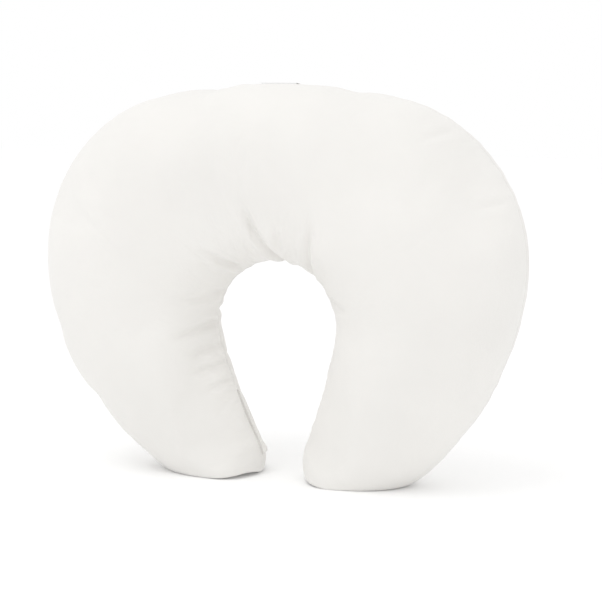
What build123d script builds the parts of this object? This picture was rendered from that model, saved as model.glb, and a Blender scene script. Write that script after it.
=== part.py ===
"""C-shaped nursing pillow, standing on the tips of its two legs.

Millimetres, +Z up. The front panel faces -Y and the perimeter seam lies in the XZ plane.
The origin is on the floor, midway between the legs.
"""
from build123d import *
from math import asin, atan2, cos, degrees, pi, sin, sqrt
import os

os.makedirs("parts", exist_ok=True)

# ---- the C's edge: one half of it, from the top of the arch to a leg's tip ----------------
TOP_HEIGHT = 404.0           # top of the arch above the floor
TOP_RADIUS = 535.0
TOP_TURN = 14.0              # degrees that each arc turns
SHOULDER_RADIUS = 168.0
SHOULDER_TURN = 78.5
SIDE_RADIUS = 287.0
SIDE_TURN = 60.5
TIP_RADIUS = 49.0
OPENING_TOP = 224.5          # top of the opening that goes round the waist
OPENING_RADIUS = 67.0

# ---- depth, front to back ----------------------------------------------------------------
CROWN_HALF_DEPTH = 75.0
TIP_HALF_DEPTH = 43.0

# ---- cloth, seams and thread -------------------------------------------------------------
CLOTH = 0.8                  # panel cloth with its nap
SEAM_ALLOWANCE = 10.0        # turned-in edge of each panel, inside the pillow
THREAD = 0.5                 # thickness of the sewing thread
STITCH_INSET = 1.6           # from the pillow's edge to the lockstitch
OVERLOCK_WIDTH = 5.0         # thread that wraps the raw edges of the allowance
LIP_WIDTH = 7.0              # flat lip on the left leg, where the filling gap was sewn shut
LIP_LENGTH = 72.0
STITCH_LENGTH = 3.0          # closing stitches, along the middle of the lip
STITCH_PITCH = 4.0

# ---- care label --------------------------------------------------------------------------
LABEL_WIDTH = 38.0
LABEL_CURVE = 65.0           # radius to which the hanging label bends over the back panel
LABEL_TURN = 40.0            # degrees of that bend
LABEL_START = 0.8            # degrees left free beside the seam, where the label swings
LABEL_RIBBON = 0.6           # ribbon folded double
LABEL_GAP = 1.2              # between the label and the back panel
TAIL_DEPTH = 8.0             # the label's sewn-in end
TAIL_INSET = 0.7

# ---- how many ribs shape each stretch of a half ------------------------------------------
CROWN_RIBS = 7
LEG_RIBS = 6
TIP_RIBS = 6
OVAL_STEPS = 12              # points round each rib's oval

# The neck of the opening is a straight stretch that touches the opening's arc and the tip's arc.
with BuildLine(Plane.XZ) as outer_edge:
    top_arc = JernArc((0, TOP_HEIGHT), (1, 0), TOP_RADIUS, -TOP_TURN)
    shoulder_arc = JernArc(top_arc @ 1, top_arc % 1, SHOULDER_RADIUS, -SHOULDER_TURN)
    side_arc = JernArc(shoulder_arc @ 1, shoulder_arc % 1, SIDE_RADIUS, -SIDE_TURN)
tip_centre = side_arc @ 1 + (side_arc % 1).rotate(Axis.Y, 90) * TIP_RADIUS
reach = tip_centre - Vector(0, 0, OPENING_TOP - OPENING_RADIUS)
both_radii = OPENING_RADIUS + TIP_RADIUS
OPENING_TURN = degrees(asin(both_radii / reach.length) - atan2(reach.Z, reach.X))
NECK_LENGTH = sqrt(reach.length**2 - both_radii**2)
TIP_TURN = (180 - (TOP_TURN + SHOULDER_TURN + SIDE_TURN) + OPENING_TURN) / 2


def half_edges(inset):
    """Stretches of the right half's outer and inner edge, `inset` inside the pillow's edge.

    Returns three pairs that face each other across the C: crown, leg and tip.
    """
    with BuildLine(Plane.XZ) as crown:
        top = JernArc((0, TOP_HEIGHT - inset), (1, 0), TOP_RADIUS - inset, -TOP_TURN)
        JernArc(top @ 1, top % 1, SHOULDER_RADIUS - inset, -SHOULDER_TURN)
    with BuildLine(Plane.XZ) as side:
        start = crown.wire()
        JernArc(start @ 1, start % 1, SIDE_RADIUS - inset, -SIDE_TURN)
    with BuildLine(Plane.XZ) as heel:
        start = side.wire()
        JernArc(start @ 1, start % 1, TIP_RADIUS - inset, -TIP_TURN)
    with BuildLine(Plane.XZ) as opening:
        JernArc((0, OPENING_TOP + inset), (1, 0), OPENING_RADIUS + inset, -OPENING_TURN)
    with BuildLine(Plane.XZ) as neck:
        start = opening.wire()
        Line(start @ 1, start @ 1 + (start % 1) * NECK_LENGTH)
    with BuildLine(Plane.XZ) as toe:
        start = neck.wire()
        JernArc(start @ 1, start % 1, TIP_RADIUS - inset, TIP_TURN)
    return [
        (crown.wire(), opening.wire()),
        (side.wire(), neck.wire()),
        (heel.wire(), toe.wire()),
    ]


def half_ribs(inset):
    """Outer end, inner end and half depth of each rib of the right half, from the top down."""
    crown, leg, tip = half_edges(inset)
    ribs = []
    for i in range(CROWN_RIBS):
        share = i / CROWN_RIBS
        ribs.append((crown[0] @ share, crown[1] @ share, CROWN_HALF_DEPTH - inset))
    for i in range(LEG_RIBS):
        share = i / LEG_RIBS
        taper = (1 - cos(pi * share)) / 2
        depth = CROWN_HALF_DEPTH + (TIP_HALF_DEPTH - CROWN_HALF_DEPTH) * taper
        ribs.append((leg[0] @ share, leg[1] @ share, depth - inset))
    for i in range(TIP_RIBS):
        share = i / TIP_RIBS
        depth = (TIP_HALF_DEPTH - inset) * cos(pi / 2 * share)
        ribs.append((tip[0] @ share, tip[1] @ share, depth))
    return ribs, tip[0] @ 1


def mirrored(point):
    return Vector(-point.X, point.Y, point.Z)


def pillow_body(inset):
    """The stuffed C, drawn in by `inset` all over, resting flat on its leg tips."""
    ribs, tip = half_ribs(inset)
    left_ribs = [(mirrored(outer), mirrored(inner), depth) for outer, inner, depth in ribs[1:]]
    with BuildPart() as body:
        for outer, inner, depth in ribs[::-1] + left_ribs:
            across = outer - inner
            middle = (outer + inner) * 0.5
            normal = across.cross(Vector(0, 1, 0))
            with BuildSketch(Plane(origin=middle, x_dir=across, z_dir=normal)):
                with BuildLine():
                    turns = [2 * pi * i / OVAL_STEPS for i in range(OVAL_STEPS + 1)]
                    Spline([(across.length / 2 * cos(turn), depth * sin(turn)) for turn in turns])
                make_face()
        sections = [Vertex(*tip), *body.pending_faces, Vertex(*mirrored(tip))]
        body.pending_faces = []
        loft(sections=sections)
        split(bisect_by=Plane.XY.offset(inset), keep=Keep.TOP)
    return body.part


def edge_face(inset):
    """The C's flat outline in the seam plane, drawn in by `inset` and cut level at the floor."""
    with BuildLine(Plane.XZ) as outline:
        for outer, inner in half_edges(inset):
            add(outer)
            add(inner)
        mirror(about=Plane.YZ)
    return split(make_face(outline.edges()), bisect_by=Plane.XY.offset(inset), keep=Keep.TOP)


def edge_band(inset, width, near, far):
    """A flat band that follows the pillow's edge, from depth `near` to depth `far` along Y."""
    outside = Pos(0, near, 0) * edge_face(inset)
    inside = Pos(0, near, 0) * edge_face(inset + width)
    with BuildPart() as band:
        extrude(outside, amount=far - near, dir=(0, 1, 0))
        extrude(inside, amount=far - near, dir=(0, 1, 0), mode=Mode.SUBTRACT)
    return band.part


# ---- shared shapes -----------------------------------------------------------------------
stuffed_body = pillow_body(0)
filled_space = pillow_body(CLOTH)

# The lip runs up the left leg from the toe, along the straight neck of the opening.
neck = half_edges(0)[1][1]
lip_foot = mirrored(neck @ 1)
lip_up = mirrored(neck % 1) * -1
lip_plane = Plane(origin=lip_foot, x_dir=lip_up, z_dir=(0, 1, 0))

with BuildSketch(Plane.XZ.offset(LABEL_RIBBON / 2)) as tail_outline:
    with Locations((0, TOP_HEIGHT - TAIL_INSET)):
        Rectangle(LABEL_WIDTH, TAIL_DEPTH, align=(Align.CENTER, Align.MAX))


def sewn_panel(front):
    """One C-shaped panel: its stuffed wall, its turned-in seam allowance and its half of the lip."""
    near, far = (-CLOTH, 0) if front else (0, CLOTH)
    allowance = edge_band(CLOTH / 2, SEAM_ALLOWANCE - CLOTH / 2, near, far)
    with BuildPart() as panel:
        add(stuffed_body)
        add(filled_space, mode=Mode.SUBTRACT)
        split(bisect_by=Plane.XZ, keep=Keep.TOP if front else Keep.BOTTOM)
        add(allowance)
        with BuildSketch(lip_plane):
            with Locations((0, -CLOTH / 2)):
                Rectangle(LIP_LENGTH, LIP_WIDTH + CLOTH / 2, align=Align.MIN)
        extrude(amount=-CLOTH if front else CLOTH)
        extrude(tail_outline.sketch, amount=-LABEL_RIBBON, mode=Mode.SUBTRACT)
    return panel


# ---- front and back panels ---------------------------------------------------------------
front_panel = sewn_panel(front=True)
front_panel.part.label = "front_panel"
export_step(front_panel.part, "parts/front_panel.step")

back_panel = sewn_panel(front=False)
back_panel.part.label = "back_panel"
export_step(back_panel.part, "parts/back_panel.step")

# ---- lockstitch: needle thread on the front's allowance, bobbin thread on the back's --------
needle_band = edge_band(STITCH_INSET, THREAD, -CLOTH - THREAD, -CLOTH)
with BuildPart() as seam_needle_thread:
    add(needle_band)
seam_needle_thread.part.label = "seam_needle_thread"
export_step(seam_needle_thread.part, "parts/seam_needle_thread.step")

bobbin_band = edge_band(STITCH_INSET, THREAD, CLOTH, CLOTH + THREAD)
with BuildPart() as seam_bobbin_thread:
    add(bobbin_band)
seam_bobbin_thread.part.label = "seam_bobbin_thread"
export_step(seam_bobbin_thread.part, "parts/seam_bobbin_thread.step")

# ---- overlock: wraps the two raw edges together, inside the pillow ---------------------------
overlock_inset = SEAM_ALLOWANCE - OVERLOCK_WIDTH
wrap = edge_band(overlock_inset, OVERLOCK_WIDTH + THREAD, -CLOTH - THREAD, CLOTH + THREAD)
seam_room = edge_band(-CLOTH, SEAM_ALLOWANCE + CLOTH, -CLOTH, CLOTH)
with BuildPart() as overlock_thread:
    add(wrap)
    add(seam_room, mode=Mode.SUBTRACT)
overlock_thread.part.label = "overlock_thread"
export_step(overlock_thread.part, "parts/overlock_thread.step")

# ---- fibre filling: fills the panels, round the seam's allowance and threads ------------------
with BuildPart() as fibre_fill:
    add(filled_space)
    add(seam_room, mode=Mode.SUBTRACT)
    for thread in (seam_needle_thread, seam_bobbin_thread, overlock_thread):
        add(thread.part, mode=Mode.SUBTRACT)
fibre_fill.part.label = "fibre_fill"
export_step(fibre_fill.part, "parts/fibre_fill.step")

# ---- closing stitches: a row on each side of the lip ------------------------------------------
stitch_count = int((LIP_LENGTH - STITCH_LENGTH) / STITCH_PITCH)
with BuildPart() as closing_stitches:
    for side in (1, -1):
        with BuildSketch(lip_plane.offset(side * CLOTH)):
            with Locations((LIP_LENGTH / 2, LIP_WIDTH / 2)):
                with GridLocations(STITCH_PITCH, 0, stitch_count, 1):
                    SlotOverall(STITCH_LENGTH, THREAD)
        extrude(amount=side * THREAD)
closing_stitches.part.label = "closing_stitches"
export_step(closing_stitches.part, "parts/closing_stitches.step")

# ---- care label: blank ribbon, its end held in the seam at the top ----------------------------
with BuildPart() as care_label_tail:
    extrude(tail_outline.sketch, amount=-LABEL_RIBBON)
care_label_tail.part.label = "care_label_tail"
export_step(care_label_tail.part, "parts/care_label_tail.step")

curve_centre = TOP_HEIGHT + LABEL_GAP - LABEL_CURVE
with BuildPart() as care_label:
    with BuildSketch(Plane.YZ.offset(-LABEL_WIDTH / 2)):
        with BuildLine():
            near_face = CenterArc((0, curve_centre), LABEL_CURVE, 90 - LABEL_START, -LABEL_TURN)
            far_face = CenterArc(
                (0, curve_centre), LABEL_CURVE + LABEL_RIBBON, 90 - LABEL_START, -LABEL_TURN
            )
            Line(near_face @ 0, far_face @ 0)
            Line(near_face @ 1, far_face @ 1)
        make_face()
    extrude(amount=LABEL_WIDTH)
care_label.part.label = "care_label"
export_step(care_label.part, "parts/care_label.step")
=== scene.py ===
"""Nursing pillow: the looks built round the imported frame. Metres, +Z up, front panel towards -Y."""
from math import asin, atan2, cos, pi, radians, sin, sqrt

import bmesh
import bpy
import numpy as np
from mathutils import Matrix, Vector, noise


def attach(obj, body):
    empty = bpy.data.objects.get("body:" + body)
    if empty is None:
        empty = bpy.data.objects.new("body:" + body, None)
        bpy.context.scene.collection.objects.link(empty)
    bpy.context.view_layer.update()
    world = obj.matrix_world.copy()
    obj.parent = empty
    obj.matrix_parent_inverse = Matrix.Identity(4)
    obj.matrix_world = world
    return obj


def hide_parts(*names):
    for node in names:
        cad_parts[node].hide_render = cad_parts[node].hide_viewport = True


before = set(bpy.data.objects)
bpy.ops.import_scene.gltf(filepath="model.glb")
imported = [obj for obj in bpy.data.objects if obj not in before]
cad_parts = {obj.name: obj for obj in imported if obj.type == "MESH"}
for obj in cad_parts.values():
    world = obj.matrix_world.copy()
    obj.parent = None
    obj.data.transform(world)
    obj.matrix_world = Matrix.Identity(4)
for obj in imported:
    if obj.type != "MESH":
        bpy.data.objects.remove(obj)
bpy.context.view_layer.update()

# ---- camera ------------------------------------------------------------------------------
CAMERA_AT = Vector((0.6225, -1.6288, 0.4264))
CAMERA_TARGET = Vector((0.0239, 0.0, 0.1841))
CAMERA_LENS = 102.3

camera_data = bpy.data.cameras.new("camera")
camera_data.sensor_width = 36.0
camera_data.lens = CAMERA_LENS
camera = bpy.data.objects.new("camera", camera_data)
bpy.context.collection.objects.link(camera)
camera.location = CAMERA_AT
camera.rotation_euler = (CAMERA_TARGET - CAMERA_AT).to_track_quat("-Z", "Y").to_euler()
bpy.context.scene.camera = camera

# ---- the C's edge, as the frame has it ------------------------------------------------------
TOP_HEIGHT = 0.404
OPENING_TOP = 0.2245
CROWN_HALF_DEPTH = 0.075
TIP_HALF_DEPTH = 0.043
OPENING_RADIUS = 0.067
TIP_RADIUS = 0.049
OUTER_RUNS = ((0.535, 14.0), (0.168, 78.5), (0.287, 60.5))     # radius, degrees turned
LIP_LENGTH = 0.072
CLOTH = 0.0008
EDGE_PINCH = 1.12             # above 1, the section comes to a sharper edge than an oval

# ---- how finely the cloth is divided ---------------------------------------------------------
CROWN_STATIONS = 104
LEG_STATIONS = 62
TIP_STATIONS = 26
ACROSS = 60                   # steps across each panel
ROUNDING = 1e-12              # lengths closer than this are the same


def run_on(start, heading, radius, turn, length, shares):
    """Points at these shares of the way along an arc, or along a line where radius is None.

    Also returns the heading at the far end. Right turns are positive.
    """
    if radius is None:
        way = np.array([cos(heading), sin(heading)])
        return start + np.outer(np.asarray(shares) * length, way), heading
    centre = start + radius * np.array([sin(heading), -cos(heading)]) * np.sign(turn)
    angles = heading - np.asarray(shares) * turn
    spokes = np.stack([-np.sin(angles), np.cos(angles)], 1) * np.sign(turn)
    return centre + radius * spokes, heading - turn


def trace(start, heading, runs, count):
    """`count` evenly spaced points along arcs that touch, and the end's point and heading."""
    lengths = [length if radius is None else radius * abs(turn) for radius, turn, length in runs]
    wanted = np.linspace(0, sum(lengths), count)
    points = []
    done = 0.0
    for number, ((radius, turn, length), reach) in enumerate(zip(runs, lengths)):
        here = wanted >= done - ROUNDING
        if number < len(runs) - 1:
            here &= wanted < done + reach - ROUNDING
        shares = (wanted[here] - done) / reach
        points.append(run_on(start, heading, radius, turn, length, shares)[0])
        ended, heading = run_on(start, heading, radius, turn, length, [1.0])
        start = ended[0]
        done += reach
    return np.concatenate(points)[:count], start, heading


def half_outline():
    """Facing points of the right half's outer and inner edge, and each station's half depth."""
    top, shoulder, side = [(radius, radians(turn), None) for radius, turn in OUTER_RUNS]
    crown_out, start, heading = trace(np.array([0.0, TOP_HEIGHT]), 0.0, [top, shoulder],
                                      CROWN_STATIONS + 1)
    side_out, side_end, side_heading = trace(start, heading, [side], LEG_STATIONS + 1)

    tip_centre = side_end + TIP_RADIUS * np.array([sin(side_heading), -cos(side_heading)])
    reach = tip_centre - np.array([0.0, OPENING_TOP - OPENING_RADIUS])
    both_radii = OPENING_RADIUS + TIP_RADIUS
    span = np.linalg.norm(reach)
    opening_turn = asin(both_radii / span) - atan2(reach[1], reach[0])
    neck_length = sqrt(span**2 - both_radii**2)
    tip_turn = (pi + side_heading + opening_turn) / 2

    crown_in, start, heading = trace(np.array([0.0, OPENING_TOP]), 0.0,
                                     [(OPENING_RADIUS, opening_turn, None)], CROWN_STATIONS + 1)
    neck_in, neck_end, heading = trace(start, heading, [(None, 0.0, neck_length)],
                                       LEG_STATIONS + 1)
    tip_shares = np.sin(np.linspace(0, pi / 2, TIP_STATIONS + 1))
    heel, _ = run_on(side_end, side_heading, TIP_RADIUS, tip_turn, None, tip_shares)
    toe, _ = run_on(neck_end, heading, TIP_RADIUS, -tip_turn, None, tip_shares)

    leg_shares = np.linspace(0, 1, LEG_STATIONS + 1)
    taper = (1 - np.cos(pi * leg_shares)) / 2
    leg_depth = CROWN_HALF_DEPTH + (TIP_HALF_DEPTH - CROWN_HALF_DEPTH) * taper
    depth = np.concatenate([
        np.full(CROWN_STATIONS, CROWN_HALF_DEPTH),
        leg_depth[:-1],
        TIP_HALF_DEPTH * np.cos(pi / 2 * tip_shares),
    ])
    outer = np.concatenate([crown_out[:-1], side_out[:-1], heel])
    inner = np.concatenate([crown_in[:-1], neck_in[:-1], toe])
    return outer, inner, depth


outer, inner, depth = half_outline()
flip = np.array([-1.0, 1.0])
outer = np.concatenate([outer[:0:-1] * flip, outer])       # from the left tip to the right tip
inner = np.concatenate([inner[:0:-1] * flip, inner])
depth = np.concatenate([depth[:0:-1], depth])
STATIONS = len(depth)


# ---- the stuffed C before the cloth is eased -------------------------------------------------
LEFT_LEAN = 0.013             # how far the left leg's tip leans in
LEAN_HEIGHT = 0.125           # the lean starts this high
LEAN_CURVE = 1.6
# middle's X and Z, half width, half height, and the push along X
SIDE_PUSHES = ((0.070, 0.175, 0.040, 0.065, -0.005), (-0.196, 0.040, 0.022, 0.014, 0.005))
TOP_DIPS = ((-0.064, 0.0026), (0.080, 0.0022))      # X and depth
DIP_WIDTH = 0.016
DIP_FOOT = 0.36               # the dips fade in over this height
DIP_RISE = 0.04
FLOOR_SOFTNESS = 0.005        # how gently the cloth turns flat where it meets the floor
FLOOR_GAP = 0.0002


def settled(points):
    """The left leg leans in a little, the top dips a little, and the tips rest on the floor."""
    points = points.copy()
    x, z = points[..., 0], points[..., 2]
    low = np.clip((LEAN_HEIGHT - z) / LEAN_HEIGHT, 0, 1) ** LEAN_CURVE
    points[..., 0] += LEFT_LEAN * low * (x < 0)
    for at_x, at_z, wide, tall, push in SIDE_PUSHES:
        points[..., 0] += push * np.exp(-(((x - at_x) / wide) ** 2 + ((z - at_z) / tall) ** 2))
    for dip_x, dip in TOP_DIPS:
        near = np.exp(-((x - dip_x) / DIP_WIDTH) ** 2)
        points[..., 2] -= dip * near * np.clip((z - DIP_FOOT) / DIP_RISE, 0, 1)
    points[..., 2] = FLOOR_GAP + (z + np.sqrt(z * z + FLOOR_SOFTNESS**2)) / 2
    return points


turns = np.arange(2 * ACROSS) * pi / ACROSS
middle = ((outer + inner) / 2)[:, None, :]
half = ((outer - inner) / 2)[:, None, :]
flat_xz = middle + half * np.cos(turns)[None, :, None]
side_y = -depth[:, None] * np.sign(np.sin(turns)) * np.abs(np.sin(turns)) ** EDGE_PINCH
start_grid = settled(np.stack([flat_xz[..., 0], side_y, flat_xz[..., 1]], -1))


def cloth_coordinates(grid):
    """Where each point lay in its panel before sewing: along the section from its middle."""
    front = grid[:, :ACROSS + 1]
    steps = np.linalg.norm(np.diff(front, axis=1), axis=2)
    run = np.concatenate([np.zeros((STATIONS, 1)), np.cumsum(steps, 1)], 1)
    run = run - run[:, -1:] / 2
    way = half[:, 0] / np.maximum(np.linalg.norm(half[:, 0], axis=1, keepdims=True), 1e-9)
    flat = middle - run[..., None] * way[:, None, :]
    flat = np.concatenate([flat, flat[:, ACROSS - 1:0:-1]], 1)
    return np.stack([flat[..., 0], np.zeros(flat.shape[:2]), flat[..., 1]], -1)


pattern = cloth_coordinates(start_grid)


def grid_faces(rows, columns, closed):
    """Quads between the points of a grid. A closed grid also joins its last column to its first."""
    last = columns if closed else columns - 1
    return [
        (r * columns + c, r * columns + (c + 1) % columns,
         (r + 1) * columns + (c + 1) % columns, (r + 1) * columns + c)
        for r in range(rows - 1) for c in range(last)
    ]


def mesh_object(name, points, faces):
    mesh = bpy.data.meshes.new(name)
    mesh.from_pydata([tuple(p) for p in points], [], faces)
    mesh.validate()
    mesh.update()
    for polygon in mesh.polygons:
        polygon.use_smooth = True
    made = bpy.data.objects.new(name, mesh)
    bpy.context.collection.objects.link(made)
    return made


def weld(made, distance):
    """Join points that lie together, and turn every face outwards."""
    shape = bmesh.new()
    shape.from_mesh(made.data)
    bmesh.ops.remove_doubles(shape, verts=shape.verts, dist=distance)
    bmesh.ops.recalc_face_normals(shape, faces=shape.faces)
    shape.to_mesh(made.data)
    shape.free()


# ---- cloth simulation: the panels ease round the filling, held at their seams ----------------
SIMULATED_FRAMES = 20
CLOTH_PRESSURE = 4.0
CLOTH_EASE = 0.035            # how much larger the cloth is than the space it covers
EASE_CAP = 0.007              # how far a point may move


def eased(grid):
    """The grid after the cloth has settled under the filling's pressure."""
    inside = grid[1:-1]
    rows, columns = inside.shape[:2]
    points = np.concatenate([inside.reshape(-1, 3), grid[0, :1], grid[-1, :1]])
    faces = grid_faces(rows, columns, True)
    left_tip, right_tip = len(points) - 2, len(points) - 1
    bottom = (rows - 1) * columns
    for c in range(columns):
        nxt = (c + 1) % columns
        faces.append((left_tip, nxt, c))
        faces.append((right_tip, bottom + c, bottom + nxt))
    cloth = mesh_object("easing", points, faces)
    seams = [r * columns + c for r in range(rows) for c in (0, ACROSS)]
    pins = cloth.vertex_groups.new(name="seams")
    pins.add(seams + [left_tip, right_tip], 1.0, "REPLACE")

    modifier = cloth.modifiers.new("cloth", "CLOTH")
    settings = modifier.settings
    settings.quality = 4
    settings.mass = 0.25
    settings.tension_stiffness = 18
    settings.compression_stiffness = 18
    settings.shear_stiffness = 6
    settings.bending_stiffness = 0.35
    settings.use_pressure = True
    settings.uniform_pressure_force = CLOTH_PRESSURE
    settings.shrink_min = -CLOTH_EASE
    settings.vertex_group_mass = "seams"
    settings.effector_weights.gravity = 0
    modifier.collision_settings.use_collision = False
    modifier.point_cache.frame_start = 1
    modifier.point_cache.frame_end = SIMULATED_FRAMES
    for number in range(1, SIMULATED_FRAMES + 1):
        bpy.context.scene.frame_set(number)
    graph = bpy.context.evaluated_depsgraph_get()
    result = np.empty(len(points) * 3, np.float32)
    cloth.evaluated_get(graph).data.vertices.foreach_get("co", result)
    result = result.reshape(-1, 3).astype(float)
    bpy.data.objects.remove(cloth)
    bpy.context.scene.frame_set(1)

    moved = result - points
    length = np.linalg.norm(moved, axis=1, keepdims=True)
    moved *= EASE_CAP * np.tanh(length / EASE_CAP) / np.maximum(length, 1e-9)
    done = grid.copy()
    done[1:-1] += moved[:-2].reshape(inside.shape)
    return done


def grid_normals(grid):
    """Outward normals of the closed grid."""
    along = np.gradient(grid, axis=0)
    round_it = (np.roll(grid, -1, 1) - np.roll(grid, 1, 1)) / 2
    normals = np.cross(round_it, along)
    normals /= np.maximum(np.linalg.norm(normals, axis=2, keepdims=True), 1e-12)
    return normals


def smoothstep(values):
    values = np.clip(values, 0, 1)
    return values * values * (3 - 2 * values)


soft_grid = eased(start_grid)

LABEL_HALF_REACH = 0.040      # the cloth is held still this far to each side under the label
LABEL_FADE = 0.014
CALMING_PASSES = 60
WRINKLE_REACH = 0.055         # how far from the opening's edge the wrinkles stay strong
LABEL_SUPPORT = 0.0019        # how far the cloth rises to meet the label lying on it

# Under the label the cloth stays where the frame has it, so that the label swings clear.
x, y, z = (start_grid[..., k] for k in range(3))
under_label = (smoothstep((LABEL_HALF_REACH - np.abs(x)) / LABEL_FADE)
               * smoothstep((z - 0.345) / 0.02) * smoothstep((y + 0.012) / 0.01))
ease = (soft_grid - start_grid) * (1 - under_label)[..., None]

# Most of the cloth lies calm. The wrinkles stay beside the opening, above all on the left leg.
calm = ease.copy()
for _ in range(CALMING_PASSES):
    ends = np.concatenate([calm[:1], calm, calm[-1:]])
    calm = (calm + (ends[:-2] + ends[2:] + np.roll(calm, 1, 1) + np.roll(calm, -1, 1)) / 4) / 2
by_opening = np.exp(-((np.hypot(x, z - 0.16) - OPENING_RADIUS) / WRINKLE_REACH) ** 2)
wrinkled = 0.22 + 0.35 * by_opening + 0.30 * smoothstep((0.03 - x) / 0.06)
wrinkled *= 0.25 + 0.75 * smoothstep(z / 0.07)
soft_grid = start_grid + calm + (ease - calm) * np.clip(wrinkled, 0, 1)[..., None]

rise = under_label * LABEL_SUPPORT * smoothstep(y / 0.030)
soft_grid = soft_grid + grid_normals(soft_grid) * rise[..., None]

# ---- creases: path of X and Z towards the opening, depth, half width, raised rim ----------------
# The front paths were started from another script's output, then adjusted.
FRONT_CREASES = (
    (((-0.025, 0.298), (-0.013, 0.280), (-0.007, 0.261), (0.001, 0.243), (0.012, 0.226)),
     0.0062, 0.0036, 0.0014),
    (((0.056, 0.290), (0.055, 0.259), (0.044, 0.216)), 0.0046, 0.0036, 0.0012),
    (((0.018, 0.268), (0.017, 0.244)), 0.0026, 0.0030, 0.0008),
    (((-0.074, 0.238), (-0.052, 0.232), (-0.038, 0.221)), 0.0038, 0.0034, 0.0022),
    (((-0.093, 0.183), (-0.074, 0.186), (-0.062, 0.191)), 0.0030, 0.0034, 0.0010),
    (((-0.100, 0.141), (-0.081, 0.152), (-0.070, 0.158)), 0.0042, 0.0036, 0.0016),
    (((-0.088, 0.124), (-0.072, 0.131), (-0.064, 0.136)), 0.0034, 0.0032, 0.0012),
    (((-0.086, 0.104), (-0.068, 0.113), (-0.054, 0.119)), 0.0036, 0.0032, 0.0012),
    (((-0.072, 0.088), (-0.050, 0.099)), 0.0030, 0.0030, 0.0010),
    (((0.098, 0.180), (0.064, 0.190)), 0.0022, 0.0032, 0.0010),
    (((0.160, 0.352), (0.186, 0.360)), 0.0020, 0.0034, 0.0008),
    (((0.214, 0.288), (0.238, 0.292)), 0.0020, 0.0034, 0.0008),
    (((-0.046, 0.024), (-0.030, 0.018)), 0.0012, 0.0050, 0.0004),
)
BACK_CREASES = (
    (((-0.044, 0.262), (-0.030, 0.232)), 0.0040, 0.0034, 0.0012),
    (((0.004, 0.284), (0.002, 0.256), (0.000, 0.228)), 0.0052, 0.0036, 0.0014),
    (((0.048, 0.262), (0.034, 0.229)), 0.0036, 0.0032, 0.0010),
    (((0.096, 0.150), (0.066, 0.160)), 0.0034, 0.0034, 0.0012),
    (((-0.094, 0.168), (-0.066, 0.170)), 0.0030, 0.0034, 0.0010),
    (((0.088, 0.112), (0.056, 0.120)), 0.0030, 0.0032, 0.0010),
)


CREASE_FADE = 0.55            # share of a path over which the crease deepens
CREASE_SHARPNESS = 1.4
RIM_AWAY = 2.1                # from a crease's middle to its rim, in half widths
RIM_WIDTH = 1.1
SIDE_FADE = 0.004             # creases fade out this close to the seam plane


def creased(grid, creases, side):
    """The grid with valleys pressed into its front (side -1) or back (side 1) half."""
    normals = grid_normals(grid)
    push = np.zeros(grid.shape[:2])
    facing = smoothstep(side * grid[..., 1] / SIDE_FADE)
    for path, valley_depth, width, rim in creases:
        away = np.full(grid.shape[:2], 1.0)
        share = np.zeros(grid.shape[:2])
        total = sum(np.linalg.norm(np.subtract(b, a)) for a, b in zip(path, path[1:]))
        done = 0.0
        for a, b in zip(path, path[1:]):
            a, b = np.array(a), np.array(b)
            length = np.linalg.norm(b - a)
            rel = grid[..., (0, 2)] - a
            t = np.clip(rel @ (b - a) / length**2, 0, 1)
            gap = np.linalg.norm(rel - t[..., None] * (b - a), axis=-1)
            share = np.where(gap < away, (done + t * length) / total, share)
            away = np.minimum(away, gap)
            done += length
        fade = smoothstep(share / CREASE_FADE)
        valley = -valley_depth * np.exp(-((away / width) ** CREASE_SHARPNESS))
        rims = rim * np.exp(-(((away - RIM_AWAY * width) / (RIM_WIDTH * width)) ** 2))
        push += (valley + rims) * fade * facing
    return grid + normals * push[..., None]


# ---- the seam's pull: a shallow valley along it, with small puckers on both sides -------------
SEAM_PULL = 0.0011
SEAM_VALLEY = 0.0040
PUCKER_DEPTH = 0.0009
PUCKER_REACH = 0.015


def run_along(points):
    """Each point's distance along the line through them."""
    steps = np.linalg.norm(np.diff(points, axis=0), axis=1)
    return np.concatenate([[0], np.cumsum(steps)])


def pucker_wave(run):
    """Uneven ripples along a seam, in patches."""
    ripple = np.sin(2 * pi * run / 0.0165 + 2.3 * np.sin(2 * pi * run / 0.103))
    second = np.sin(2 * pi * run / 0.0275 + 1.7 * np.sin(2 * pi * run / 0.171) + 0.8)
    patches = 0.55 + 0.45 * np.sin(2 * pi * run / 0.233 + 1.1)
    return (0.6 * ripple + 0.4 * second) * patches


def seamed(grid):
    """The grid with the seam drawn in and puckered, except under the label and near the floor."""
    across = np.linalg.norm(np.diff(grid[:, :ACROSS + 1], axis=1), axis=2)
    run = np.concatenate([np.zeros((STATIONS, 1)), np.cumsum(across, 1)], 1)
    run = np.concatenate([run, run[:, ACROSS - 1:0:-1]], 1)
    to_inner = run.max(1, keepdims=True) - run
    push = np.zeros(grid.shape[:2])
    for away, edge, strength in ((run, outer, 1.0), (to_inner, inner, 0.6)):
        wave = pucker_wave(run_along(edge))[:, None] * strength
        near = np.exp(-away / PUCKER_REACH) * (1 - np.exp(-((away / 0.003) ** 2)))
        push += PUCKER_DEPTH * wave * near
        push -= SEAM_PULL * np.exp(-((away / SEAM_VALLEY) ** 2))
    push *= smoothstep(grid[..., 2] / 0.05) * (1 - under_label)
    return grid + grid_normals(grid) * push[..., None]


soft_grid = seamed(soft_grid)
soft_grid = creased(soft_grid, FRONT_CREASES, -1)
soft_grid = creased(soft_grid, BACK_CREASES, 1)
soft_grid[..., 2] = np.maximum(soft_grid[..., 2], FLOOR_GAP)

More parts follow.
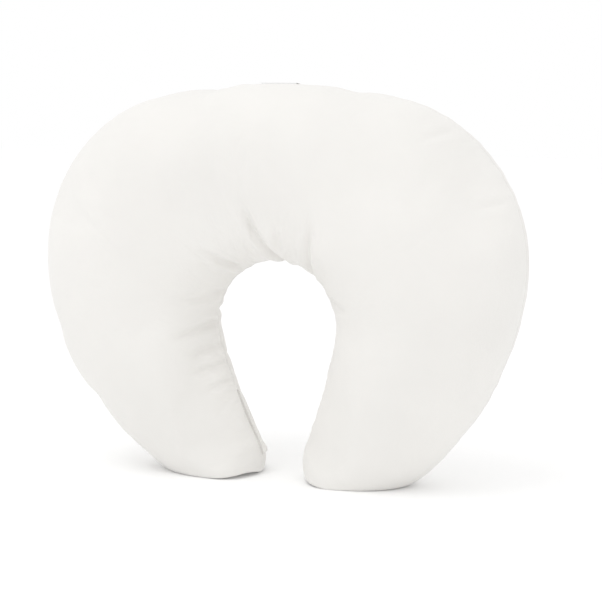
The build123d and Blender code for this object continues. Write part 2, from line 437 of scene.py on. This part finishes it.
# ---- seam loop: the closed line where the two panels meet ------------------------------------
SEAM_ALLOWANCE = 0.010
LIP_FOOT = 0.023              # height of the lip's lower end
LIP_REACH = 0.0052            # the lip curls, so it stands out less than its width
LIP_SWAY = 0.0016             # how far it wavers out of the seam plane
LIP_ROOT = 0.0012             # the lip starts this far inside the seam

loop = np.concatenate([soft_grid[:, 0], soft_grid[-2:0:-1, ACROSS]])[:, (0, 2)]
tangent = np.roll(loop, -1, 0) - np.roll(loop, 1, 0)
tangent /= np.linalg.norm(tangent, axis=1, keepdims=True)
inward = np.stack([tangent[:, 1], -tangent[:, 0]], 1)      # the loop runs clockwise


def loop_point(index, inset, at_y):
    """A point of the seam plane's neighbourhood, `inset` inside the seam loop."""
    at = loop[index % len(loop)] + inward[index % len(loop)] * inset
    return (at[0], at_y, max(at[1], FLOOR_GAP))


def lip_sway(index, inset):
    """How far the lip wavers out of the seam plane: the further out, the more."""
    wander = noise.noise(Vector((index * 0.11, inset * 60, 4.0)))
    return LIP_SWAY * wander * (abs(inset) / LIP_REACH)


def band(indices, offsets, near_y, far_y, closed, sways):
    """A strip of cloth between two depths, following the loop's points, all round where closed."""
    points, faces = [], []
    ring = 2 * len(offsets[0])
    for n, index in enumerate(indices):
        for at_y, order in ((near_y, 1), (far_y, -1)):
            for inset in offsets[n][::order]:
                sway = lip_sway(index, inset) if sways else 0.0
                points.append(loop_point(index, inset, at_y + sway))
    count = len(indices)
    for n in range(count if closed else count - 1):
        a, b = n * ring, (n + 1) % count * ring
        for k in range(ring):
            nxt = (k + 1) % ring
            faces.append((a + k, b + k, b + nxt, a + nxt))
    if not closed:
        faces.append(tuple(range(ring)))
        faces.append(tuple((count - 1) * ring + k for k in range(ring - 1, -1, -1)))
    return points, faces


def lip_indices():
    """The lip's stretch of the loop: on the left leg's inner edge, up from its foot."""
    first = STATIONS + (STATIONS - 2) - TIP_STATIONS       # the left toe's start in the loop
    while loop[first][1] > LIP_FOOT:
        first += 1
    run, index = 0.0, first
    found = [index]
    while run < LIP_LENGTH:
        run += np.linalg.norm(loop[index] - loop[index - 1])
        index -= 1
        found.append(index)
    return found


lip = lip_indices()


# ---- panels ----------------------------------------------------------------------------------
def panel(name, columns):
    """One panel's stuffed cloth."""
    rows = soft_grid[:, columns]
    flats = pattern[:, columns]
    width = rows.shape[1]
    faces = grid_faces(STATIONS, width, False)
    made = mesh_object(name, rows.reshape(-1, 3), faces)
    layer = made.data.attributes.new("pattern", "FLOAT_VECTOR", "POINT")
    layer.data.foreach_set("vector", flats.reshape(-1).astype(np.float32))
    weld(made, 2e-6)
    subdivide = made.modifiers.new("fine", "SUBSURF")
    subdivide.levels = subdivide.render_levels = 1
    thicken = made.modifiers.new("cloth", "SOLIDIFY")
    thicken.thickness = CLOTH
    thicken.offset = -1
    return made


front = panel("front_panel_cloth", list(range(ACROSS + 1)))
back = panel("back_panel_cloth", list(range(ACROSS, 2 * ACROSS)) + [0])


# ---- lip and seam allowance: flat strips of the same cloth, one for each panel ---------------
def joined(name, shapes):
    """One object from several lists of points and faces."""
    points, faces = [], []
    for shape_points, shape_faces in shapes:
        faces += [tuple(k + len(points) for k in face) for face in shape_faces]
        points += shape_points
    made = mesh_object(name, points, faces)
    weld(made, 1e-7)
    return made


def lip_offsets():
    """How far the lip stands out of the seam at each of its points: rounded off at both ends."""
    shares = np.linspace(0, 1, len(lip))
    reach = LIP_REACH * np.clip(np.sin(pi * shares), 0, 1) ** 0.22
    reach += 0.0034 * np.exp(-((shares - 0.04) / 0.05) ** 2)
    return [(-far, -far * 0.66, -far * 0.33, LIP_ROOT) for far in reach]


STRIP_GAP = 0.00005           # from the seam plane to each panel's strips


def strips(name, side):
    """One panel's seam allowance, all round, and its half of the lip."""
    near_y, far_y = sorted((side * STRIP_GAP, side * CLOTH))
    allowance = [(CLOTH, SEAM_ALLOWANCE / 2, SEAM_ALLOWANCE)] * len(loop)
    return joined(name, [
        band(range(len(loop)), allowance, near_y, far_y, closed=True, sways=False),
        band(lip, lip_offsets(), near_y, far_y, closed=False, sways=True),
    ])


front_strips = strips("front_panel_lip", -1)
back_strips = strips("back_panel_lip", 1)


# ---- thread ----------------------------------------------------------------------------------
THREAD = 0.0005
STITCH_INSET = 0.0016
STITCH_PITCH = 0.004
STITCH_LENGTH = 0.003
OVERLOCK_PITCH = 0.0028
OVERLOCK_WIDTH = 0.005
LOCKSTITCH_STEP = 0.0015


def thread_curve(name, runs, cyclic):
    """A round thread along each run of points."""
    data = bpy.data.curves.new(name, "CURVE")
    data.dimensions = "3D"
    data.bevel_depth = THREAD / 2
    data.bevel_resolution = 1
    data.use_fill_caps = True
    for run in runs:
        spline = data.splines.new("POLY")
        spline.points.add(len(run) - 1)
        for point, at in zip(spline.points, run):
            point.co = (*at, 1)
        spline.use_cyclic_u = cyclic
    curve = bpy.data.objects.new(name + "_line", data)
    bpy.context.collection.objects.link(curve)
    graph = bpy.context.evaluated_depsgraph_get()
    mesh = bpy.data.meshes.new_from_object(curve.evaluated_get(graph))
    for polygon in mesh.polygons:
        polygon.use_smooth = True
    made = bpy.data.objects.new(name, mesh)
    bpy.context.collection.objects.link(made)
    bpy.data.objects.remove(curve)
    return made


gaps = np.linalg.norm(np.diff(np.vstack([loop, loop[:1]]), axis=0), axis=1)
loop_run = np.concatenate([[0], np.cumsum(gaps)])


def along_loop(run):
    """The number of the loop's point at a distance along it."""
    return int(np.searchsorted(loop_run, run % loop_run[-1]))


def lockstitch(name, side):
    """Thread lying on one side of the allowance, dipping into the cloth at each stitch."""
    line = []
    for n in range(int(loop_run[-1] / LOCKSTITCH_STEP)):
        at_y = side * (CLOTH + THREAD * (0.55 if n % 2 else 0.25))
        index = along_loop(n * LOCKSTITCH_STEP)
        line.append(loop_point(index, STITCH_INSET + THREAD / 2, at_y))
    return thread_curve(name, [line], True)


def overlock(name):
    """Thread wrapped over both raw edges, down one side and back up the other."""
    line = []
    wrap = CLOTH + THREAD * 0.6
    for n in range(int(loop_run[-1] / OVERLOCK_PITCH)):
        run = n * OVERLOCK_PITCH
        steps = ((0.0, SEAM_ALLOWANCE - OVERLOCK_WIDTH, -wrap),
                 (0.25, SEAM_ALLOWANCE + THREAD, -wrap / 2),
                 (0.5, SEAM_ALLOWANCE + THREAD, wrap / 2),
                 (0.75, SEAM_ALLOWANCE - OVERLOCK_WIDTH, wrap))
        for share, inset, at_y in steps:
            line.append(loop_point(along_loop(run + share * OVERLOCK_PITCH), inset, at_y))
    return thread_curve(name, [line], True)


def lip_stitches(name):
    """The closing stitches: a row down the middle of the lip, on both of its sides."""
    rows = []
    steps = np.concatenate([[0], np.cumsum([
        np.linalg.norm(loop[a] - loop[b]) for a, b in zip(lip, lip[1:])])])
    for n in range(int((LIP_LENGTH - STITCH_LENGTH) / STITCH_PITCH)):
        start = STITCH_LENGTH / 2 + n * STITCH_PITCH
        for side in (-1, 1):
            row = []
            for share in np.linspace(0, 1, 5):
                index = lip[min(int(np.searchsorted(steps, start + share * STITCH_LENGTH)),
                                len(lip) - 1)]
                sway = lip_sway(index, -LIP_REACH / 2)
                lift = CLOTH + THREAD * (0.1 + 0.5 * sin(pi * share))
                row.append(loop_point(index, -LIP_REACH / 2, side * lift + sway))
            rows.append(row)
    return thread_curve(name, rows, False)


needle_thread = lockstitch("seam_needle_stitches", -1)
bobbin_thread = lockstitch("seam_bobbin_stitches", 1)
overlock_piece = overlock("overlock_wraps")
stitches = lip_stitches("closing_lip_stitches")

# ---- filling: the space inside the cloth -----------------------------------------------------
FILL_GAP = 0.0022             # from the cloth's outside to the filling


def filling(name):
    """The filling, a little inside the cloth and closed off at both tips."""
    inside = (soft_grid - grid_normals(soft_grid) * FILL_GAP)[2:-2]
    inside[..., 2] = np.maximum(inside[..., 2], FILL_GAP)
    rows, columns = inside.shape[:2]
    points = inside.reshape(-1, 3)
    faces = grid_faces(rows, columns, True)
    faces.append(tuple(range(columns - 1, -1, -1)))
    faces.append(tuple((rows - 1) * columns + c for c in range(columns)))
    made = mesh_object(name, points, faces)
    weld(made, 1e-6)
    return made


fill = filling("fibre_filling")

# ---- care label: a blank ribbon folded double, over the back of the top ----------------------
LABEL_WIDTH = 0.038
LABEL_CURVE = 0.065           # radius to which the label bends over the back panel
LABEL_GAP = 0.0012
LABEL_START = 0.8             # degrees from the seam to where the label starts
LABEL_TURN = 40.0             # degrees of its bend
LABEL_RIBBON = 0.0006         # thickness of the folded ribbon
LABEL_LONG_STEPS = 46
LABEL_WIDE_STEPS = 16
SELVEDGE_START = 0.86         # share of the half width where the thinner selvedge starts
TAIL_FOOT = 0.3953
TAIL_TOP = 0.4052
TAIL_STEPS = 8


def label_ribbon(name):
    """The folded ribbon as one closed strip, bent over the back panel."""
    centre_z = TOP_HEIGHT + LABEL_GAP - LABEL_CURVE
    long_steps, wide_steps = LABEL_LONG_STEPS, LABEL_WIDE_STEPS
    outside, points = [], []
    for n in range(long_steps + 1):
        angle = radians(90 - LABEL_START - LABEL_TURN * n / long_steps)
        outside.append((angle, LABEL_CURVE + LABEL_RIBBON))
    for n in range(long_steps, -1, -1):
        outside.append((outside[n][0], LABEL_CURVE))
    for angle, far in outside:
        for w in range(wide_steps + 1):
            share = w / wide_steps * 2 - 1
            selvedge = 0.00006 * (abs(share) > SELVEDGE_START)
            far_here = far - selvedge if far > LABEL_CURVE else far + selvedge
            points.append((share * LABEL_WIDTH / 2, far_here * cos(angle),
                           centre_z + far_here * sin(angle)))
    faces = grid_faces(len(outside), wide_steps + 1, False)
    columns = wide_steps + 1
    faces.append(tuple(range(columns)) + tuple(
        (len(outside) - 1) * columns + w for w in range(wide_steps, -1, -1)))
    for edge in (0, wide_steps):
        for n in range(long_steps):
            a, b = n * columns + edge, (n + 1) * columns + edge
            c, d = ((len(outside) - 1 - n) * columns + edge,
                    (len(outside) - 2 - n) * columns + edge)
            faces.append((a, b, d, c))
    made = mesh_object(name, points, faces)
    weld(made, 1e-7)
    return made


label = label_ribbon("blank_care_label")


def label_tail(name):
    """The label's sewn-in end, up out of the seam to where the label starts."""
    wide_steps, tall_steps = LABEL_WIDE_STEPS, TAIL_STEPS
    points = []
    for side in (-1, 1):
        for t in range(tall_steps + 1):
            for w in range(wide_steps + 1):
                share = w / wide_steps * 2 - 1
                selvedge = 0.00005 * (abs(share) > SELVEDGE_START)
                points.append((share * LABEL_WIDTH / 2, side * (LABEL_RIBBON / 2 - selvedge),
                               TAIL_FOOT + (TAIL_TOP - TAIL_FOOT) * t / tall_steps))
    columns = wide_steps + 1
    size = columns * (tall_steps + 1)
    faces = grid_faces(tall_steps + 1, columns, False)
    faces += [tuple(k + size for k in face[::-1]) for face in faces]
    rim = list(range(columns))
    rim += [t * columns + wide_steps for t in range(1, tall_steps + 1)]
    rim += [tall_steps * columns + w for w in range(wide_steps - 1, -1, -1)]
    rim += [t * columns for t in range(tall_steps - 1, 0, -1)]
    faces += [(a, b, b + size, a + size) for a, b in zip(rim, rim[1:] + rim[:1])]
    made = mesh_object(name, points, faces)
    weld(made, 1e-7)
    return made


tail = label_tail("blank_care_label_tail")


# ---- materials -------------------------------------------------------------------------------
WEAVE_SCALE = 500.0


def material(name, **values):
    """A new material, its node tree and its shader, with these values set on the shader."""
    made = bpy.data.materials.new(name)
    made.use_nodes = True
    shader = made.node_tree.nodes["Principled BSDF"]
    for socket, value in values.items():
        shader.inputs[socket.replace("_", " ")].default_value = value
    return made, made.node_tree, shader


def texture(tree, kind, place, direction=None, **values):
    """A noise or wave texture laid out by `place`."""
    made = tree.nodes.new(kind)
    if direction:
        made.bands_direction = direction
    for socket, value in values.items():
        made.inputs[socket].default_value = value
    tree.links.new(place, made.inputs["Vector"])
    return made.outputs["Fac"]


def tinted(tree, shader, share, dark, tint, ends=(0.0, 1.0)):
    """Colour the shader between `dark` times the tint and the tint itself."""
    ramp = tree.nodes.new("ShaderNodeValToRGB")
    for element, end, level in zip(ramp.color_ramp.elements, ends, (dark, 1.0)):
        element.position = end
        element.color = (*[c * level for c in tint], 1)
    tree.links.new(share, ramp.inputs["Fac"])
    tree.links.new(ramp.outputs["Color"], shader.inputs["Base Color"])


def bumped(tree, height, strength, distance, under=None):
    """A bump's normal, on top of another one where `under` is given."""
    bump = tree.nodes.new("ShaderNodeBump")
    bump.inputs["Strength"].default_value = strength
    bump.inputs["Distance"].default_value = distance
    tree.links.new(height, bump.inputs["Height"])
    if under:
        tree.links.new(under, bump.inputs["Normal"])
    return bump.outputs["Normal"]


def cotton(name, tint):
    """Plain-woven cotton: two sets of threads at right angles, slubs, and a faint cloudiness."""
    made, tree, shader = material(name, Roughness=0.92, Sheen_Weight=0.35, Sheen_Roughness=0.5,
                                  Specular_IOR_Level=0.2)
    attribute = tree.nodes.new("ShaderNodeAttribute")
    attribute.attribute_name = "pattern"
    place = attribute.outputs["Vector"]
    cloud = texture(tree, "ShaderNodeTexNoise", place, Scale=9, Detail=4)
    tinted(tree, shader, cloud, 0.955, tint, ends=(0.3, 0.7))

    weave = tree.nodes.new("ShaderNodeMath")
    weave.operation = "MULTIPLY"
    for number, direction in enumerate(("X", "Z")):
        threads = texture(tree, "ShaderNodeTexWave", place, direction,
                          Scale=WEAVE_SCALE, Distortion=0.6, Detail=1)
        tree.links.new(threads, weave.inputs[number])
    fine = bumped(tree, weave.outputs["Value"], 0.25, 0.0002)
    slubs = texture(tree, "ShaderNodeTexNoise", place, Scale=140, Detail=6, Roughness=0.6)
    tree.links.new(bumped(tree, slubs, 0.35, 0.0006, fine), shader.inputs["Normal"])
    return made


def thread_material(name, tint):
    """Two plies of spun polyester, twisted."""
    made, tree, shader = material(name, Base_Color=(*tint, 1), Roughness=0.6, Sheen_Weight=0.2)
    place = tree.nodes.new("ShaderNodeTexCoord").outputs["Object"]
    twist = texture(tree, "ShaderNodeTexWave", place, "DIAGONAL", Scale=900, Distortion=1.0)
    tree.links.new(bumped(tree, twist, 0.4, 0.0001), shader.inputs["Normal"])
    return made


def ribbon_material(name, tint):
    """Satin ribbon: fine ribs across it, a soft gloss, faint yarn variation."""
    made, tree, shader = material(name, Roughness=0.42, Sheen_Weight=0.25)
    place = tree.nodes.new("ShaderNodeTexCoord").outputs["Object"]
    ribs = texture(tree, "ShaderNodeTexWave", place, "X", Scale=700, Distortion=0.4)
    yarn = texture(tree, "ShaderNodeTexNoise", place, Scale=300)
    tinted(tree, shader, yarn, 0.94, tint)
    tree.links.new(bumped(tree, ribs, 0.3, 0.0001), shader.inputs["Normal"])
    return made


def fibre_material(name, tint):
    """Tangled hollow fibre: bright, fluffy, no gloss."""
    made, tree, shader = material(name, Roughness=1.0, Sheen_Weight=0.6)
    place = tree.nodes.new("ShaderNodeTexCoord").outputs["Object"]
    fluff = texture(tree, "ShaderNodeTexNoise", place, Scale=90, Detail=8, Distortion=1.5)
    tinted(tree, shader, fluff, 0.86, tint)
    tree.links.new(bumped(tree, fluff, 0.8, 0.002), shader.inputs["Normal"])
    return made


front_cotton = cotton("cotton_front", (0.825, 0.811, 0.784))
# The back panel is the same cotton as the front, tinted a touch darker as painted shade, since the
# back faces away from the key light.
shaded_back_cotton = cotton("cotton_back_painted_shade", (0.82, 0.806, 0.778))
thread_finish = thread_material("polyester_thread", (0.91, 0.90, 0.88))
ribbon_finish = ribbon_material("woven_ribbon", (0.93, 0.93, 0.925))
fibre_finish = fibre_material("polyester_fibre", (0.93, 0.93, 0.94))

PIECES = (
    (front, front_cotton, "pillow", "front_panel", "panel_cloth"),
    (front_strips, front_cotton, "pillow", "front_panel", "panel_cloth"),
    (back, shaded_back_cotton, "pillow", "back_panel", "panel_cloth"),
    (back_strips, shaded_back_cotton, "pillow", "back_panel", "panel_cloth"),
    (fill, fibre_finish, "pillow", "fibre_fill", "polyester_fibre"),
    (needle_thread, thread_finish, "pillow", "seam_needle_thread", "sewing_thread"),
    (bobbin_thread, thread_finish, "pillow", "seam_bobbin_thread", "sewing_thread"),
    (overlock_piece, thread_finish, "pillow", "overlock_thread", "sewing_thread"),
    (stitches, thread_finish, "pillow", "closing_stitches", "sewing_thread"),
    (label, ribbon_finish, "label", "care_label", "label_ribbon"),
    (tail, ribbon_finish, "pillow", "care_label_tail", "label_ribbon"),
)
for piece, finish, body, node, slot in PIECES:
    piece.data.materials.clear()
    piece.data.materials.append(finish)
    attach(piece, body)
    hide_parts(node)

# ---- stage -----------------------------------------------------------------------------------
FLOOR_REACH = 6
LIGHT_AIM = Vector((0, 0, 0.2))
LIGHTS = (("key", (-0.6, -1.0, 2.5), 1.6, 11), ("fill", (1.8, -1.2, 0.9), 1.4, 1))

corners = [(x_end * FLOOR_REACH, y_end * FLOOR_REACH, 0)
           for x_end, y_end in ((-1, -1), (1, -1), (1, 1), (-1, 1))]
floor_mesh = bpy.data.meshes.new("floor")
floor_mesh.from_pydata(corners, [], [(0, 1, 2, 3)])
floor = bpy.data.objects.new("floor", floor_mesh)
bpy.context.collection.objects.link(floor)
paint, _, _ = material("floor", Base_Color=(0.97, 0.97, 0.97, 1), Emission_Color=(1, 1, 1, 1),
                       Emission_Strength=0.03, Roughness=1.0)
floor.data.materials.append(paint)

bpy.context.scene.view_settings.view_transform = "Standard"
world = bpy.data.worlds.new("world")
bpy.context.scene.world = world
world.use_nodes = True
background = world.node_tree.nodes["Background"]
background.inputs["Color"].default_value = (1, 1, 1, 1)
background.inputs["Strength"].default_value = 1.0

for name, at, size, energy in LIGHTS:
    light = bpy.data.lights.new(name, "AREA")
    light.size = size
    light.energy = energy
    lamp = bpy.data.objects.new(name, light)
    bpy.context.collection.objects.link(lamp)
    lamp.location = at
    lamp.rotation_euler = (LIGHT_AIM - Vector(at)).to_track_quat("-Z", "Y").to_euler()
